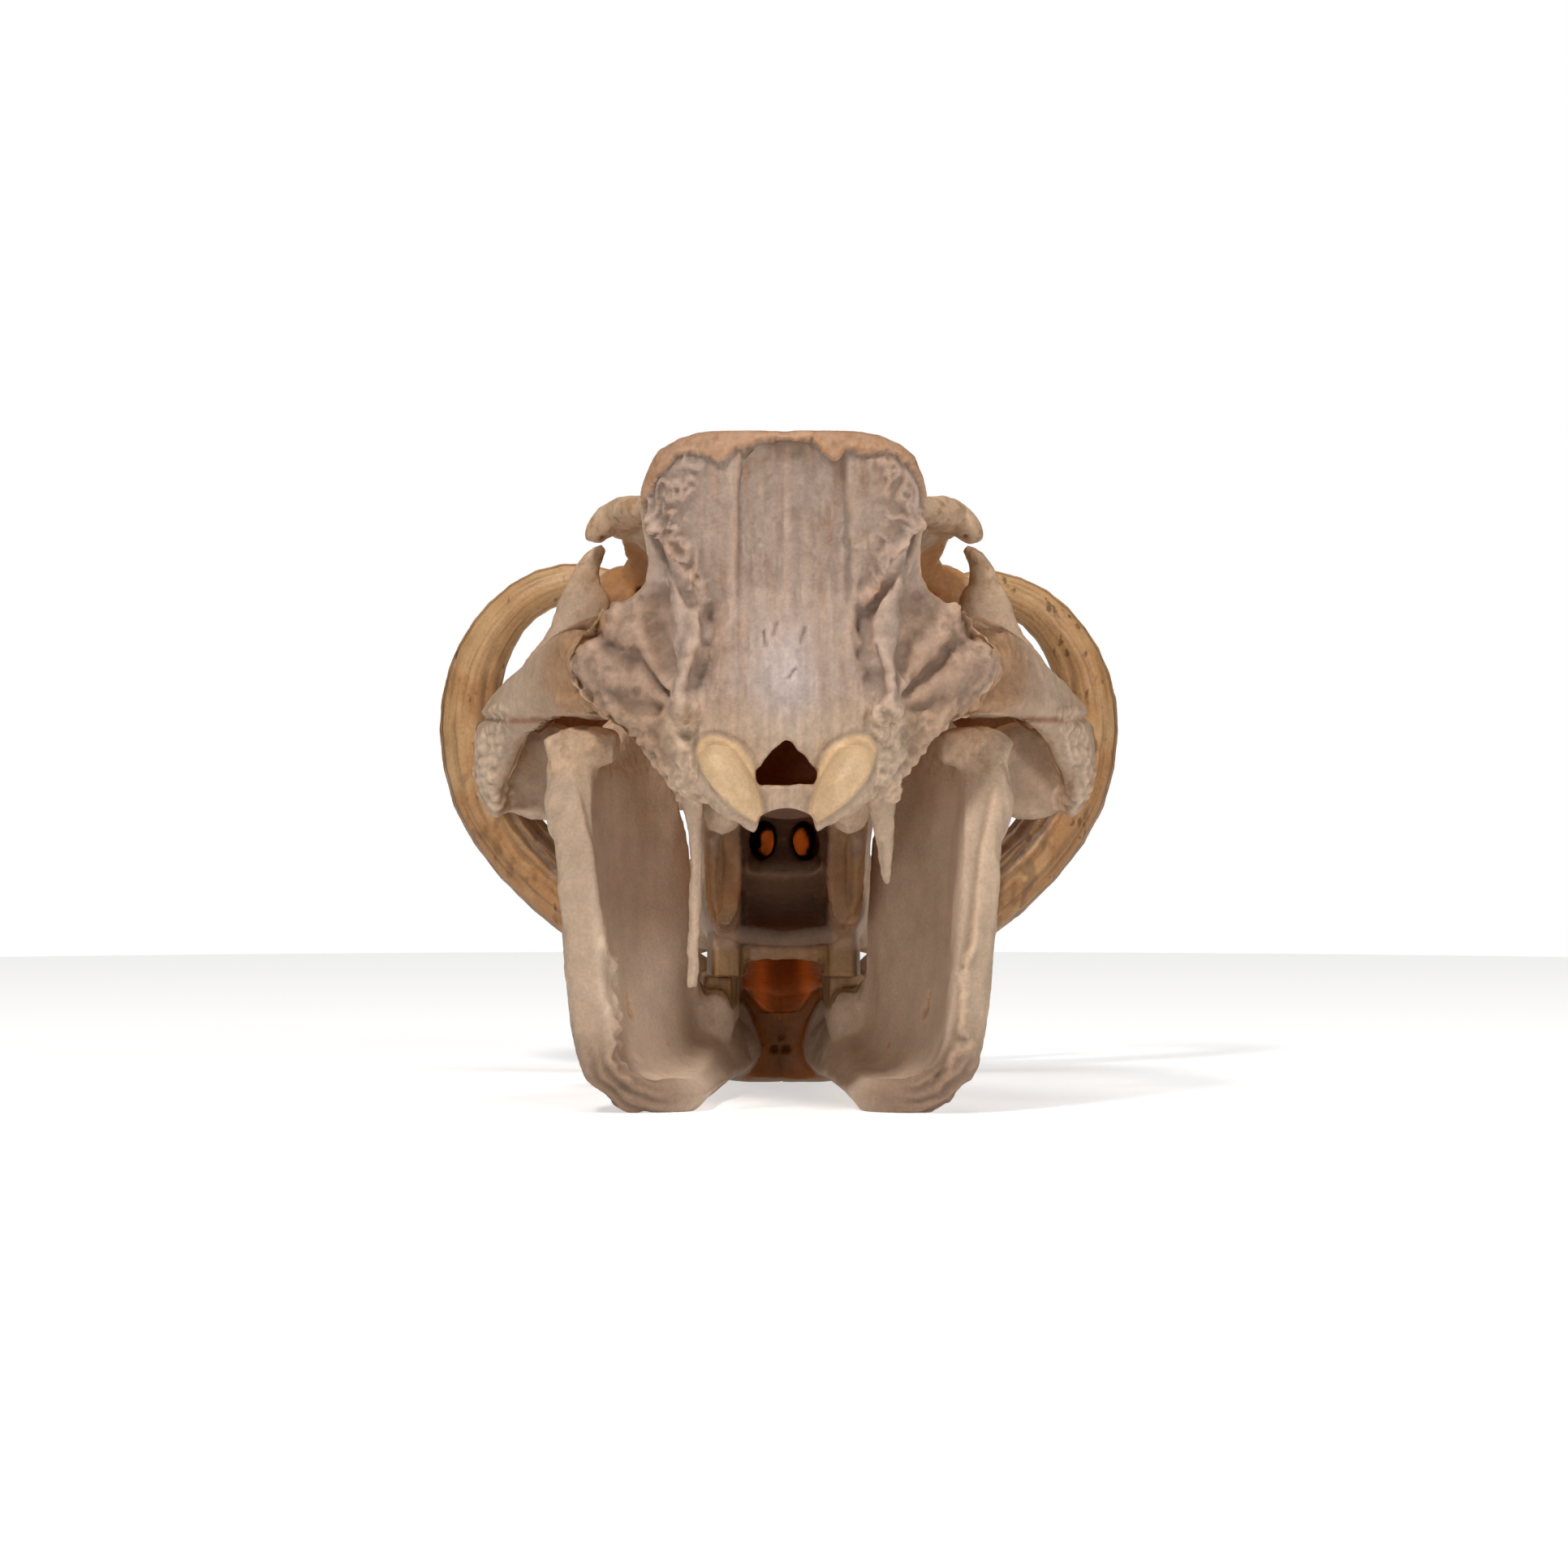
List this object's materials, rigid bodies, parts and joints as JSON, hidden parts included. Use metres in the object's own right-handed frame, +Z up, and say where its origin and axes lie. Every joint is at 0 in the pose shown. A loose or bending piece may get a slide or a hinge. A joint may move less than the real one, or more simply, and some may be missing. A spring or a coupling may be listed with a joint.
{
  "type": "warthog skull",
  "caption": "Life-size adult warthog skull with its lower jaw closed and curled tusks, resting on the lower jaw.",
  "frame": {"origin": "on the floor that the lower jaw rests on, under the middle of the skull's bounding box", "axes": "+Z up, +Y towards the snout, +X to the skull's right side"},
  "size_m": [0.2412, 0.366, 0.212],
  "materials": {
    "cranium_bone": "satin",
    "mandible_bone": "satin",
    "upper_tusk_left_ivory": "satin",
    "upper_tusk_right_ivory": "satin",
    "lower_tusk_left_ivory": "satin",
    "lower_tusk_right_ivory": "satin"
  },
  "bodies": {
    "root": {"cranium": "cranium_bone", "mandible": "mandible_bone", "upper_tusk_left": "upper_tusk_left_ivory", "upper_tusk_right": "upper_tusk_right_ivory", "lower_tusk_left": "lower_tusk_left_ivory", "lower_tusk_right": "lower_tusk_right_ivory"}
  },
  "joints": []
}
